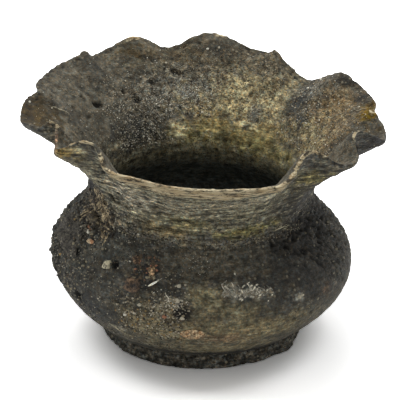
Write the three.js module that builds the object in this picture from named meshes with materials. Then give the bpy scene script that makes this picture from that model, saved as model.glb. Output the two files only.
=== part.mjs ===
// A squat wheel-thrown vase with a hand-crimped trumpet mouth, darkened and crusted by fire.
// Millimetres, +Z up. The origin is on the table, in the middle of the foot. The front faces -Y.
// The clay is built in the potter's own zones, which meet on flat joints, and grit is stuck outside.
import * as THREE from "three";
import { mergeVertices } from "three/addons/utils/BufferGeometryUtils.js";

// The foot
const footRadius = 40;
const footHeight = 6;
const footFlare = 0.8;
const footGroove = 0.6;
const footBevel = 0.6;

// The body and the neck: outside radii, heights above the table, and walls
const floorThickness = 4;
const bellyRadius = 62.3;
const bellyHeight = 33;
const bodyWall = 3.2;
const neckRadius = 45.6;
const neckBaseHeight = 60;
const neckLength = 4;
const neckSwell = 0.5;

// The mouth: radius and height of the lip's outer edge before it was crimped
const mouthRadius = 74;
const mouthHeight = 94;
const lipWall = 2.6;

// How far the handles of the body's two bows reach, out or in and up or down
const footBow = { out: 7, up: 4.5 };
const bellyBow = { down: 10.5, up: 11.5 };
const neckBow = { out: 4.3, down: 10 };

// How the mouth opens from the neck to the lip, and how the crimps fade towards the neck
const flareOutPower = 1.45;
const flareUpPower = 0.85;
const crimpFadePower = 1.8;

// The wet pot sagged to its right: the slope that it took, from none at the foot to all of it.
// Its belly and neck were pushed to its left a little, and neither the foot nor the lip was.
const sagSlope = 0.038;
const sagRise = 22;
const bellyPush = 0.8;

// Crimps, pinched up and in at the lip: where and how wide to each side (degrees), lift and pull (mm)
const crimps = [
  { at: 8.3, half: 3.2, lift: 1, pull: 3 },
  { at: 36.3, half: 6.5, lift: 3.8, pull: 2 },
  { at: 62.2, half: 2.6, lift: 4.8, pull: 2 },
  { at: 87, half: 9, lift: 6.3, pull: 1.5 },
  { at: 112.5, half: 7.5, lift: 5.5, pull: 1.5 },
  { at: 134, half: 3, lift: 2.5, pull: 1 },
  { at: 163.8, half: 2.8, lift: 0, pull: 3.4 },
  { at: 202.4, half: 2, lift: 8.5, pull: 2.5 },
  { at: 227, half: 8.2, lift: 8.7, pull: 7 },
  { at: 308.6, half: 7.5, lift: 10, pull: 6.5 },
  { at: 335, half: 5, lift: 6.8, pull: 6 },
];

// Dips and pushes between the crimps, mostly wider and softer
const swells = [
  { at: 52, half: 10, lift: -6.3, pull: 1 },
  { at: 57, half: 4, lift: -2.2, pull: 0 },
  { at: 101, half: 6, lift: -2.5, pull: 0.5 },
  { at: 119, half: 5, lift: 1.3, pull: 0 },
  { at: 143, half: 7, lift: 0.6, pull: -1.2 },
  { at: 180, half: 14, lift: -3, pull: 0 },
  { at: 195.5, half: 4.5, lift: 1.6, pull: 0.3 },
  { at: 206, half: 8, lift: -1, pull: 9 },
  { at: 231, half: 3, lift: 0, pull: 2 },
  { at: 247, half: 9, lift: 1, pull: 3 },
  { at: 270, half: 16, lift: 0, pull: 2 },
  { at: 327, half: 4, lift: 0, pull: -0.4 },
  { at: 341, half: 5, lift: 3, pull: 2 },
  { at: 357, half: 9, lift: -5.5, pull: -0.5 },
];

// Bits stuck to the outside. at (degrees) goes round, and climb goes up: -1 at the foot, 0 at the
// belly, 1 at the neck. wide, tall and thick are sizes, and turn (degrees) tips a bit on the wall.
const stuckBits = {
  crust_patch: { at: 192, climb: 0.5, wide: 33, tall: 15, thick: 1.3, turn: -8, knobs: 0.3, color: 0x2f2c26 },
  crust_clump: { at: 206, climb: 0.86, wide: 11, tall: 5, thick: 2.4, turn: 0, knobs: 0.35, color: 0x3d342a },
  chip_cream: { at: 212.3, climb: 0.63, wide: 5, tall: 2.4, thick: 0.9, turn: 8, knobs: 0.1, color: 0xb89a70 },
  pebble_pale: { at: 228, climb: 0.5, wide: 4.2, tall: 5, thick: 1.8, turn: -30, knobs: 0.25, color: 0x9a9488 },
  clinker_rust: { at: 240.5, climb: 0.66, wide: 3.8, tall: 4.4, thick: 1.6, turn: 0, knobs: 0.3, color: 0x6e4228 },
  clinker_brown: { at: 249, climb: 0.58, wide: 4, tall: 5, thick: 1.5, turn: 30, knobs: 0.35, color: 0x5a4028 },
  nodule_dark: { at: 242.5, climb: 0.37, wide: 8.4, tall: 7.4, thick: 2, turn: 0, knobs: 0.25, color: 0x241f1a },
  sliver_pale: { at: 250.5, climb: 0.44, wide: 5, tall: 1, thick: 0.7, turn: 38, knobs: 0.1, color: 0xb09a6c },
  flake_orange: { at: 267, climb: -0.24, wide: 11, tall: 6.4, thick: 1, turn: 5, knobs: 0.12, color: 0x96623c },
};
const stuckGap = 0.3;
const knobCount = 4;

// Facets
const turnSteps = 124;
const crimpCrowding = 3;
const crowdingSamples = 1440;
const bowSteps = 6;
const collarSteps = 2;
const flareSteps = 7;
const bitFacet = 1.6;

const burntClay = { color: 0x3a372c, roughness: 0.72, metalness: 0 };
const footClay = { color: 0x2a2823, roughness: 0.85, metalness: 0 };

const neckTop = neckBaseHeight + neckLength;
const turnOnce = 2 * Math.PI;

function polar(radius, angle, height) {
  return new THREE.Vector3(radius * Math.cos(angle), radius * Math.sin(angle), height);
}

// Lowers the right side and raises the left, not at all on the foot and fully from sagRise above it,
// and moves the belly and the neck to the left, but not the lip.
function sagged(point) {
  const share = THREE.MathUtils.smoothstep(point.z, footHeight, footHeight + sagRise);
  const belowLip = 1 - THREE.MathUtils.smoothstep(point.z, neckTop, mouthHeight);
  point.z -= sagSlope * point.x * share;
  point.x -= bellyPush * share * belowLip;
  return point;
}

// Moves each vertex of a geometry, then joins the vertices that meet and drops empty triangles.
function reshaped(geometry, move) {
  const position = geometry.attributes.position;
  for (let v = 0; v < position.count; v += 1) {
    const moved = move(v, new THREE.Vector3().fromBufferAttribute(position, v));
    position.setXYZ(v, moved.x, moved.y, moved.z);
  }
  geometry.deleteAttribute("normal");
  geometry.deleteAttribute("uv");
  const joined = mergeVertices(geometry, 1e-4);
  const corners = Array.from(joined.index.array);
  const kept = [];
  for (let t = 0; t < corners.length; t += 3) {
    const [a, b, c] = corners.slice(t, t + 3);
    if (a !== b && b !== c && c !== a) kept.push(a, b, c);
  }
  joined.setIndex(kept);
  return joined;
}

// How close the columns of facets stand at an angle in degrees: closest on the narrow crimps
function crowding(degrees) {
  let crowd = 1;
  for (const fold of crimps) {
    const away = THREE.MathUtils.euclideanModulo(degrees - fold.at + 180, 360) - 180;
    crowd += (crimpCrowding / fold.half) * Math.exp(-((away / (1.5 * fold.half)) ** 2));
  }
  return crowd;
}

// The angle of each column of facets, in radians: equal shares of the crowding all the way round
function columnAngles() {
  const sums = [0];
  for (let k = 0; k < crowdingSamples; k += 1) {
    sums.push(sums[k] + crowding((360 * (k + 0.5)) / crowdingSamples));
  }
  const angles = [];
  for (let column = 0; column < turnSteps; column += 1) {
    const target = (sums[crowdingSamples] * column) / turnSteps;
    const next = sums.findIndex((sum) => sum > target);
    const share = (target - sums[next - 1]) / (sums[next] - sums[next - 1]);
    angles.push((turnOnce * (next - 1 + share)) / crowdingSamples);
  }
  return angles;
}

const columns = columnAngles();

// Turns a profile about Z. place says where a profile point goes at an angle, in case it isn't round.
function turned(profile, place) {
  const lathe = new THREE.LatheGeometry(profile, turnSteps);
  return reshaped(lathe, (v) => {
    const column = Math.floor(v / profile.length) % turnSteps;
    return place(profile[v % profile.length], columns[column]);
  });
}

const placeOnPot = (point, angle) => sagged(polar(point.x, angle, point.y));

function clayMesh(name, geometry, look) {
  geometry.computeVertexNormals();
  const mesh = new THREE.Mesh(geometry, new THREE.MeshStandardMaterial(look));
  mesh.name = name;
  return mesh;
}

// The outside of the body: one bow from the foot to the belly, and one from there to the neck
const underRim = new THREE.Vector2(footRadius + footFlare, footHeight);
const bellyRim = new THREE.Vector2(bellyRadius, bellyHeight);
const neckRim = new THREE.Vector2(neckRadius, neckBaseHeight);
const underBow = new THREE.CubicBezierCurve(
  underRim,
  new THREE.Vector2(underRim.x + footBow.out, underRim.y + footBow.up),
  new THREE.Vector2(bellyRim.x, bellyRim.y - bellyBow.down),
  bellyRim,
);
const shoulderBow = new THREE.CubicBezierCurve(
  bellyRim,
  new THREE.Vector2(bellyRim.x, bellyRim.y + bellyBow.up),
  new THREE.Vector2(neckRim.x + neckBow.out, neckRim.y - neckBow.down),
  neckRim,
);

// A point of the body's inside face, across the wall from its point on the bow
function insideOf(bow, share) {
  const point = bow.getPoint(share);
  const along = bow.getTangent(share);
  return new THREE.Vector2(point.x - along.y * bodyWall, point.y + along.x * bodyWall);
}

// Where the inside face meets a flat joint, straight across the wall from the rim outside
function insideRim(rim) {
  return new THREE.Vector2(rim.x - bodyWall, rim.y);
}

// The foot: a low solid pad, wider where it stands, with a groove turned in under the bowl
function foot() {
  const grooveRadius = footRadius - footGroove;
  const profile = [
    new THREE.Vector2(0, 0),
    new THREE.Vector2(footRadius + footFlare - footBevel, 0),
    new THREE.Vector2(footRadius + footFlare, footBevel),
    new THREE.Vector2(footRadius, footHeight / 2),
    new THREE.Vector2(grooveRadius, footHeight),
    new THREE.Vector2(0, footHeight),
  ];
  return clayMesh("foot", turned(profile, placeOnPot), footClay);
}

// The bowl: a flat floor, and the wall up to the belly
function bowl() {
  const floorTop = footHeight + floorThickness;
  const profile = [new THREE.Vector2(0, footHeight)];
  for (let k = 0; k <= bowSteps; k += 1) {
    profile.push(underBow.getPoint(k / bowSteps));
  }
  profile.push(insideRim(bellyRim));
  for (let k = bowSteps - 1; k > 0; k -= 1) {
    const point = insideOf(underBow, k / bowSteps);
    if (point.y > floorTop) profile.push(point);
  }
  profile.push(new THREE.Vector2(footRadius, floorTop));
  profile.push(new THREE.Vector2(0, floorTop));
  return clayMesh("bowl", turned(profile, placeOnPot), burntClay);
}

// The shoulder: from the belly in to the base of the neck
function shoulder() {
  const profile = [];
  for (let k = 0; k <= bowSteps; k += 1) {
    profile.push(shoulderBow.getPoint(k / bowSteps));
  }
  profile.push(insideRim(neckRim));
  for (let k = bowSteps - 1; k > 0; k -= 1) {
    profile.push(insideOf(shoulderBow, k / bowSteps));
  }
  profile.push(insideRim(bellyRim));
  profile.push(bellyRim);
  return clayMesh("shoulder", turned(profile, placeOnPot), burntClay);
}

// The neck: a short collar that swells a little between its two joints
function neckCollar() {
  const profile = [];
  for (let k = 0; k <= collarSteps; k += 1) {
    const share = k / collarSteps;
    const swell = neckSwell * Math.sin(Math.PI * share);
    profile.push(new THREE.Vector2(neckRadius + swell, neckBaseHeight + neckLength * share));
  }
  profile.push(new THREE.Vector2(neckRadius - bodyWall, neckTop));
  profile.push(insideRim(neckRim));
  profile.push(neckRim);
  return clayMesh("neck_collar", turned(profile, placeOnPot), burntClay);
}

// How far the lip is lifted and pulled in at an angle, by every crimp and swell together
function crimpAt(angle) {
  const total = { lift: 0, pull: 0 };
  for (const fold of [...crimps, ...swells]) {
    const turn = THREE.MathUtils.radToDeg(angle) - fold.at;
    const away = THREE.MathUtils.euclideanModulo(turn + 180, 360) - 180;
    const share = Math.exp(-((away / fold.half) ** 2));
    total.lift += fold.lift * share;
    total.pull += fold.pull * share;
  }
  return total;
}

// A point of the mouth's outside face before the pot sagged, from the neck (share 0) to the lip (1)
function mouthOutside(angle, share) {
  const crimp = crimpAt(angle);
  const fade = share ** crimpFadePower;
  const out = (mouthRadius - neckRadius) * share ** flareOutPower;
  const up = (mouthHeight - neckTop) * share ** flareUpPower;
  return polar(neckRadius + out - crimp.pull * fade, angle, neckTop + up + crimp.lift * fade);
}

// The outward normal of the mouth's outside face. At the neck it is level, so that the joint is flat.
function mouthNormal(angle, share) {
  if (share === 0) return polar(1, angle, 0);
  const small = 0.004;
  const across = mouthOutside(angle + small, share).sub(mouthOutside(angle - small, share));
  const up = mouthOutside(angle, share + small).sub(mouthOutside(angle, share - small));
  return across.cross(up).normalize();
}

// The mouth: a trumpet whose thin lip is crimped by hand. A point of its profile holds the depth into
// the wall (0 outside, 1 inside) as x and the share of the way up as y.
function crimpedMouth() {
  const slant = Math.hypot(mouthRadius - neckRadius, mouthHeight - neckTop);
  const roundedEdge = 1 + (0.4 * lipWall) / slant;
  const profile = [];
  for (let k = 0; k <= flareSteps; k += 1) {
    profile.push(new THREE.Vector2(0, k / flareSteps));
  }
  profile.push(new THREE.Vector2(0.5, roundedEdge));
  for (let k = flareSteps; k >= 0; k -= 1) {
    profile.push(new THREE.Vector2(1, k / flareSteps));
  }
  profile.push(new THREE.Vector2(0, 0));
  const place = (station, angle) => {
    const wall = THREE.MathUtils.lerp(bodyWall, lipWall, station.y);
    const inwards = mouthNormal(angle, station.y).multiplyScalar(-wall * station.x);
    return sagged(mouthOutside(angle, station.y).add(inwards));
  };
  return clayMesh("crimped_mouth", turned(profile, place), burntClay);
}

// The body's outside radius at a height, found on its bows by halving
function bodyRadiusAt(height) {
  const bow = height < bellyHeight ? underBow : shoulderBow;
  let low = 0;
  let high = 1;
  for (let k = 0; k < 30; k += 1) {
    const middle = (low + high) / 2;
    if (bow.getPoint(middle).y < height) low = middle;
    else high = middle;
  }
  return bow.getPoint(low).x;
}

function bodyOutside(angle, height) {
  return sagged(polar(bodyRadiusAt(height), angle, height));
}

function bodyNormal(angle, height) {
  const small = 0.02;
  const across = bodyOutside(angle + small, height).sub(bodyOutside(angle - small, height));
  const up = bodyOutside(angle, height + small).sub(bodyOutside(angle, height - small));
  return across.cross(up).normalize();
}

// A bit stuck to the body: a ball whose lower half is pressed flat along the wall and whose upper
// half is a knobbly dome. Knobs make its outline uneven too.
function stuckBit(name, bit) {
  const spokes = Math.max(8, Math.round((Math.PI * bit.wide) / 2 / bitFacet));
  const rings = Math.max(3, Math.round(bit.tall / 2 / bitFacet));
  const ball = new THREE.SphereGeometry(1, spokes, 2 * rings);
  const span = bit.climb < 0 ? bellyHeight - footHeight : neckBaseHeight - bellyHeight;
  const height = bellyHeight + bit.climb * span;
  const angle = THREE.MathUtils.degToRad(bit.at);
  const radius = bodyRadiusAt(height);
  const normal = bodyNormal(angle, height);
  const steepness = Math.hypot(normal.x, normal.y);
  const tip = THREE.MathUtils.degToRad(bit.turn);
  const geometry = reshaped(ball, (v, unit) => {
    const spoke = Math.atan2(-unit.z, unit.x);
    const share = Math.hypot(unit.x, unit.z);
    const knob = bit.knobs * share * Math.sin(knobCount * spoke + bit.at);
    const across = (bit.wide / 2) * unit.x * (1 + knob / 2);
    const along = (bit.tall / 2) * -unit.z * (1 + knob / 2);
    const sideways = across * Math.cos(tip) - along * Math.sin(tip);
    const upwards = across * Math.sin(tip) + along * Math.cos(tip);
    const turn = angle + sideways / radius;
    const level = height + upwards * steepness;
    const dome = unit.y > 0 ? bit.thick * unit.y * (1 + knob) : 0;
    return bodyOutside(turn, level).addScaledVector(bodyNormal(turn, level), stuckGap + dome);
  });
  return clayMesh(name, geometry, { color: bit.color, roughness: 0.9, metalness: 0 });
}

const vase = new THREE.Group();
vase.add(foot(), bowl(), shoulder(), neckCollar(), crimpedMouth());
for (const [name, bit] of Object.entries(stuckBits)) vase.add(stuckBit(name, bit));

export default vase;
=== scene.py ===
# %% [markdown]
# # A burnt vase with a crimped mouth
# A small pot was thrown on a wheel, its wide lip was pinched into crimps by hand, and a fire then
# left it dark, gritty and crusted. This notebook dresses its plain solids. The solids stay where
# they are; each piece below is a finer skin for one of them, or a bit of what is stuck to the clay.

# %% Load the frame
import math
import random

import bmesh
import bpy
from mathutils import Matrix, Vector, noise
from mathutils.bvhtree import BVHTree


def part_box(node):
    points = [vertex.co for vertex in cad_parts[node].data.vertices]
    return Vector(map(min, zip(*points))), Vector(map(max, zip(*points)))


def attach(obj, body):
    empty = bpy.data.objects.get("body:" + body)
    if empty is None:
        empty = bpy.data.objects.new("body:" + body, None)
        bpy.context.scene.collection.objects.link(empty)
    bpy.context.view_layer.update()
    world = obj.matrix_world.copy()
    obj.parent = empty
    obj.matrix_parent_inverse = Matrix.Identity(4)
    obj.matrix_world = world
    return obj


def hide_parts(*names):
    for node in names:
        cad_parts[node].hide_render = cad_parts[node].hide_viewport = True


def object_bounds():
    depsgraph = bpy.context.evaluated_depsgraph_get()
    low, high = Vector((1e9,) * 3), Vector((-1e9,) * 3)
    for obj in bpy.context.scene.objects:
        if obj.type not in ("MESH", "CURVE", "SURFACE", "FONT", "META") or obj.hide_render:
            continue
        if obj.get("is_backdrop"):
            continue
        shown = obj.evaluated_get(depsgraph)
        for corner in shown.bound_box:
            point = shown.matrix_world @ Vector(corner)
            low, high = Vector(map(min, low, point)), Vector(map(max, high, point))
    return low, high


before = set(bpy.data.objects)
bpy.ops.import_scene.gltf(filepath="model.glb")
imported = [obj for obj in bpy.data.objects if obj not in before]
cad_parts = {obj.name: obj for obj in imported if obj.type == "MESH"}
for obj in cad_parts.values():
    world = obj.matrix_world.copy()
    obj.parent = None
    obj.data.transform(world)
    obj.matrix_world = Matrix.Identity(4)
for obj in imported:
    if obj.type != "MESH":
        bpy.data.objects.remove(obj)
cad_box = [list(corner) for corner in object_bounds()]
MM = 0.001
print("solids:", len(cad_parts), "box in mm:", [[round(c / MM, 1) for c in p] for p in cad_box])

# %% [markdown]
# ## The camera
# The photograph looks down at the vase by about 25 degrees, from far enough away that near and far
# crimps have almost the same scale. A long lens on a distant camera gives that flat view.

# %% Camera
CAMERA_TILT = math.radians(25.5)
CAMERA_DISTANCE = 1.5
CAMERA_LENS = 328
AIM = Vector((-1.03, 4.69, 54.84)) * MM


def into_scene(made):
    bpy.context.scene.collection.objects.link(made)
    return made


camera = into_scene(bpy.data.objects.new("camera", bpy.data.cameras.new("camera")))
camera.data.lens = CAMERA_LENS
camera.location = AIM + CAMERA_DISTANCE * Vector((0, -math.cos(CAMERA_TILT), math.sin(CAMERA_TILT)))
camera.rotation_euler = (math.pi / 2 - CAMERA_TILT, 0, 0)
bpy.context.scene.camera = camera
print("camera looks down", round(math.degrees(CAMERA_TILT), 1), "degrees")

# %% [markdown]
# ## The studio
# The photograph has a white paper floor, lit so much that only the soft shadow round the foot shows.
# The paper is whiter to the camera than to the light that bounces, and far from the vase it glows a
# little for the camera alone, so it stays white in every view. The shadow is short, and darkest in
# front of the foot, so most of the light comes from high up: a soft lamp on either side, the left one
# a little stronger, one overhead and a low one behind.

# %% Helpers for materials
def new_material(name):
    material = bpy.data.materials.new(name)
    material.use_nodes = True
    tree = material.node_tree
    shader = next(n for n in tree.nodes if n.type == "BSDF_PRINCIPLED")
    return material, tree, shader


def add_node(tree, kind, settings=None, **inputs):
    """A node with its settings, whose inputs are values or are linked to sockets. _0 is the first input."""
    made = tree.nodes.new("ShaderNode" + kind)
    for key, value in (settings or {}).items():
        setattr(made, key, value)
    for key, value in inputs.items():
        socket = made.inputs[int(key[1:])] if key[0] == "_" else made.inputs[key.replace("_", " ")]
        if isinstance(value, bpy.types.NodeSocket):
            tree.links.new(value, socket)
        else:
            socket.default_value = value
    return made


def combine(tree, how, first, second):
    return add_node(tree, "Math", {"operation": how}, _0=first, _1=second).outputs[0]


def over(tree, share, below, above):
    made = add_node(tree, "Mix", {"data_type": "RGBA"}, _0=share, _6=below, _7=above)
    return made.outputs[2]


def seen(tree):
    """1 for what the camera sees, also in gloss or through glass, and 0 for light that bounces."""
    path = add_node(tree, "LightPath")
    straight = combine(tree, "MAXIMUM", path.outputs["Is Camera Ray"], path.outputs["Is Glossy Ray"])
    return combine(tree, "MAXIMUM", straight, path.outputs["Is Transmission Ray"])


# %% Floor
FLOOR_HALF = 4.0
PAPER_GREY = (0.8, 0.8, 0.8, 1)
PAPER_SEEN = (1.9, 1.9, 1.9, 1)
WHITE = (1, 1, 1, 1)
PAPER_ROUGHNESS = 0.9
GLOW_FAR = 0.6
GLOW_FROM = 0.12
GLOW_TO = 0.6


def new_object(name, bm):
    """An object in the scene with the given bmesh, which is used up."""
    mesh = bpy.data.meshes.new(name)
    bm.to_mesh(mesh)
    bm.free()
    return into_scene(bpy.data.objects.new(name, mesh))


bm = bmesh.new()
bmesh.ops.create_grid(bm, x_segments=1, y_segments=1, size=FLOOR_HALF)
floor = new_object("floor", bm)
material, tree, shader = new_material("white_paper")
eye = seen(tree)
tree.links.new(over(tree, eye, PAPER_GREY, PAPER_SEEN), shader.inputs["Base Color"])
shader.inputs["Roughness"].default_value = PAPER_ROUGHNESS
shader.inputs["Specular IOR Level"].default_value = 0.0
coords = add_node(tree, "TexCoord").outputs["Object"]
away = add_node(tree, "VectorMath", {"operation": "LENGTH"}, _0=coords).outputs["Value"]
glow = add_node(tree, "MapRange", Value=away, From_Min=GLOW_FROM, From_Max=GLOW_TO,
                To_Min=0.0, To_Max=GLOW_FAR).outputs[0]
light = add_node(tree, "Emission", Color=WHITE, Strength=combine(tree, "MULTIPLY", eye, glow))
both = add_node(tree, "AddShader", _0=shader.outputs[0], _1=light.outputs[0])
output = next(n for n in tree.nodes if n.type == "OUTPUT_MATERIAL")
tree.links.new(both.outputs[0], output.inputs["Surface"])
floor.data.materials.append(material)
floor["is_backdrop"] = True
print("floor:", 2 * FLOOR_HALF, "m wide")

# %% Sky and lamps
SKY_STRENGTH = 0.38
world = bpy.data.worlds.new("sky")
world.use_nodes = True
bpy.context.scene.world = world
sky = world.node_tree
background = next(n for n in sky.nodes if n.type == "BACKGROUND")
strength = add_node(sky, "Mix", {"data_type": "FLOAT"}, _0=seen(sky), _2=SKY_STRENGTH, _3=1.0)
background.inputs["Color"].default_value = WHITE
sky.links.new(strength.outputs[0], background.inputs["Strength"])

LAMP_SIZE = 0.5
LAMPS = {
    "left_lamp": ((-0.6, 0.15, 1.0), 4.2),
    "right_lamp": ((0.6, 0.15, 1.0), 3.2),
    "top_lamp": ((0.0, 0.0, 1.2), 1.8),
    "back_lamp": ((0.0, 0.95, 0.7), 2.9),
}
for name, (place, watts) in LAMPS.items():
    light = bpy.data.lights.new(name, "AREA")
    light.size = LAMP_SIZE
    light.energy = watts
    made = into_scene(bpy.data.objects.new(name, light))
    made.location = place
    made.rotation_euler = (AIM - made.location).to_track_quat("-Z", "Y").to_euler()
bpy.context.scene.view_settings.view_transform = "Standard"
print("lamps:", ", ".join(LAMPS))

# %% [markdown]
# ## Places on the pot
# Everything on a turned pot is placed by how far round it is and how high. The pot sagged to its
# right while it was wet, so heights are read along its own slope. Angles are in degrees: -90 or 270
# is the front, 0 is the right, 90 is the back and 180 is the left.

# %% Angles and heights
SAG_SLOPE = 0.038
MOUTH_START = 64
TURN = 360
FADED = 2.2


def angle_and_height(point):
    """The angle in degrees and the height in mm of a point that is given in metres."""
    angle = math.degrees(math.atan2(point.y, point.x)) % TURN
    return angle, point.z / MM + SAG_SLOPE * point.x / MM


def turned_from(angle, middle):
    """How far round, in degrees, an angle is from another: between -180 and 180."""
    return (angle - middle + TURN / 2) % TURN - TURN / 2


def smooth(low, high, value):
    share = min(max((value - low) / (high - low), 0.0), 1.0)
    return share * share * (3 - 2 * share)


def near(angle, height, place):
    """How much a point belongs to a soft oval patch: 1 in its middle, 0 far away.
    place holds the angle and height of the middle, and how far the patch reaches in each."""
    middle, level, reach, rise = place
    up = (height - level) / rise
    round_it = turned_from(angle, middle) / reach
    if abs(up) > FADED or abs(round_it) > FADED:
        return 0.0
    return math.exp(-round_it * round_it - up * up)


def patch(angle, height, places):
    return min(1.0, sum(near(angle, height, place) for place in places))


# %% [markdown]
# ## The clay wall
# On the real vase the bowl, shoulder, neck and mouth are one wall of clay. Subdividing each section
# by itself would leave a dent at every joint. So the copies are welded first, the flat joints inside
# the wall are taken out, and the whole wall is smoothed and worked as one. Later it is parted again
# along the same joints, one piece for each section.

# %% Weld the sections
SECTIONS = ("bowl", "shoulder", "neck_collar", "crimped_mouth")
WELD = 2e-5
JOINT_FLATNESS = 0.1
WALL_ANGLES = (70, 80)


def lies_in_joint(face):
    """A joint's face is level along the sag, and shares an edge with the walls on both sides."""
    heights = [angle_and_height(v.co)[1] for v in face.verts]
    shared = any(len(e.link_faces) > 2 for e in face.edges)
    return shared and max(heights) - min(heights) < JOINT_FLATNESS


def merged_copy(node, angles=None):
    """A copy of a solid whose triangles share their points, and are joined up to these angles."""
    bm = bmesh.new()
    bm.from_mesh(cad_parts[node].data)
    bmesh.ops.remove_doubles(bm, verts=bm.verts, dist=WELD)
    if angles:
        flat, square = (math.radians(angle) for angle in angles)
        bmesh.ops.join_triangles(bm, faces=bm.faces, angle_face_threshold=flat,
                                 angle_shape_threshold=square)
    return bm


wall = bmesh.new()
for index, name in enumerate(SECTIONS):
    bm = merged_copy(name, WALL_ANGLES)
    for face in bm.faces:
        face.material_index = index
        face.smooth = True
    part = bpy.data.meshes.new(name)
    bm.to_mesh(part)
    wall.from_mesh(part)
    bm.free()
    bpy.data.meshes.remove(part)
bmesh.ops.remove_doubles(wall, verts=wall.verts, dist=WELD)
joints = [f for f in wall.faces if lies_in_joint(f)]
bmesh.ops.delete(wall, geom=joints, context="FACES")
loose = [e for e in wall.edges if not e.link_faces]
bmesh.ops.delete(wall, geom=loose, context="EDGES")
print("faces inside the joints:", len(joints), "faces of the wall:", len(wall.faces),
      "open edges:", sum(e.is_boundary for e in wall.edges))

# %% [markdown]
# ## Smooth the wall
# A Subdivision Surface turns the facets into one smooth skin. Its rows are twice as far apart as its
# columns, because a turned profile needs few points, so every edge that runs up the profile is then
# cut once more. That leaves cells of about 0.8 mm, fine enough for lumps and pits.

# %% Subdivide
def subdivided(bm, levels):
    """A new bmesh with the Subdivision Surface of the given one, which is used up."""
    rough = new_object("rough", bm)
    modifier = rough.modifiers.new("smooth", "SUBSURF")
    modifier.levels = levels
    modifier.render_levels = levels
    bpy.context.view_layer.update()
    fine = rough.evaluated_get(bpy.context.evaluated_depsgraph_get()).to_mesh()
    result = bmesh.new()
    result.from_mesh(fine)
    old = rough.data
    bpy.data.objects.remove(rough)
    bpy.data.meshes.remove(old)
    return result


WALL_LEVELS = 2
SAME_COLUMN = 0.25
ROW_EDGE = 0.95 * MM
wall = subdivided(wall, WALL_LEVELS)
rows = []
for edge in wall.edges:
    ends = [angle_and_height(v.co)[0] for v in edge.verts]
    if abs(turned_from(*ends)) < SAME_COLUMN and edge.calc_length() > ROW_EDGE:
        rows.append(edge)
bmesh.ops.subdivide_edges(wall, edges=rows, cuts=1, use_grid_fill=True)
wall.normal_update()
print("faces of the smooth wall:", len(wall.faces))

# %% [markdown]
# ## Work the surface
# The finish of this vase is mostly relief: throwing rings round the neck, a wrinkled skin on the
# right shoulder, a fibrous crust in the crook on the left, sandy grain inside the mouth, and pits
# where grit has fallen out. Each is noise of its own size, faded in by a patch. Moving real
# vertices, rather than only bending the light with bump, keeps the edges and the outline rough too.
# A place is its angle and height, and how far it reaches in degrees and in mm. A pit has half its
# width and its depth in their stead, and a swell has its height, or with a minus its depth, as well.

# %% Where the surface is rough
CRUST_PLACES = [(203, 58, 12, 9), (186, 47, 20, 12), (216, 60, 12, 5), (188, 30, 16, 9), (150, 45, 25, 12)]
WRINKLE_PLACES = [(335, 56, 18, 9), (350, 50, 26, 11), (312, 57, 9, 4), (20, 50, 30, 10)]
SANDY_PLACES = [(78, 78, 34, 13), (108, 82, 20, 12), (118, 70, 20, 7), (30, 86, 16, 9), (60, 92, 26, 6)]
SMOOTH_PLACES = [(150, 84, 12, 8), (48, 85, 6, 8)]
SMEARED_PLACES = [(92, 70.5, 24, 4), (60, 70, 16, 3.4), (103.5, 68.8, 5, 4)]
SMEARED_BARE = 0.45
PITS = [
    (215.4, 29.3, 2.1, 2.5), (230.9, 47.5, 1.3, 1.9), (296.1, 59.3, 1.1, 0.9), (212.3, 66.5, 1.9, 2.2),
    (211.4, 69.2, 1.4, 1.8), (222.0, 72.0, 1.2, 1.1), (246.1, 81.9, 1.4, 0.6), (262.0, 37.0, 2.4, 0.6),
    (240.2, 60.5, 1.0, 0.7), (234.0, 58.5, 1.1, 0.7), (247.0, 58.0, 1.2, 0.5), (270.5, 59.2, 1.2, 0.5),
    (209.0, 45.0, 1.6, 0.8), (222.5, 50.5, 1.4, 0.6), (226.0, 87.0, 1.2, 0.7),
]
INSIDE_PITS = [
    (143.6, 83.6, 0.9, 1.5), (142.1, 83.1, 0.9, 1.5), (140.6, 82.8, 0.8, 1.2), (122.6, 81.4, 1.2, 0.9),
    (121.2, 81.2, 1.0, 0.8), (101.0, 88.1, 1.1, 0.9), (99.4, 87.8, 0.9, 0.8), (102.4, 88.4, 0.8, 0.8),
    (126.4, 84.5, 0.8, 1.0), (112.0, 86.5, 1.5, 0.7), (68.0, 83.0, 1.0, 0.7), (147.0, 86.5, 1.2, 0.6),
]
SWELLS = [
    (192, 69, 16, 6, -2.1), (356, 42, 30, 16, 0.5), (241, 43, 3.4, 2.8, 0.5), (212, 93, 8, 6, 1.5),
    (192, 88, 6, 5, -0.8), (347, 88, 7, 5, 0.8), (196, 27, 14, 8, -0.5), (345, 77, 12, 5, -0.7),
]
SEED_FAR = Vector((17.3, 5.1, 9.7))
LIP_BLEND = 0.25


def outwardness(co, normal, height):
    """1 on the outside of the wall, 0 on its inside, and between them round the lip."""
    facing = normal.dot(Vector((co.x, co.y, 0)).normalized())
    if height > MOUTH_START:
        facing -= normal.z
    return smooth(-LIP_BLEND, LIP_BLEND, facing)


def pitted(angle, height, radius, pits):
    """The depth in mm of the named pits at a place: a steep round hole each."""
    depth = 0.0
    for middle, level, width, deep in pits:
        if abs(height - level) < 2 * width:
            away = math.hypot(math.radians(turned_from(angle, middle)) * radius, height - level) / width
            if away < 2:
                depth += deep * math.exp(-away ** 4)
    return depth


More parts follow.
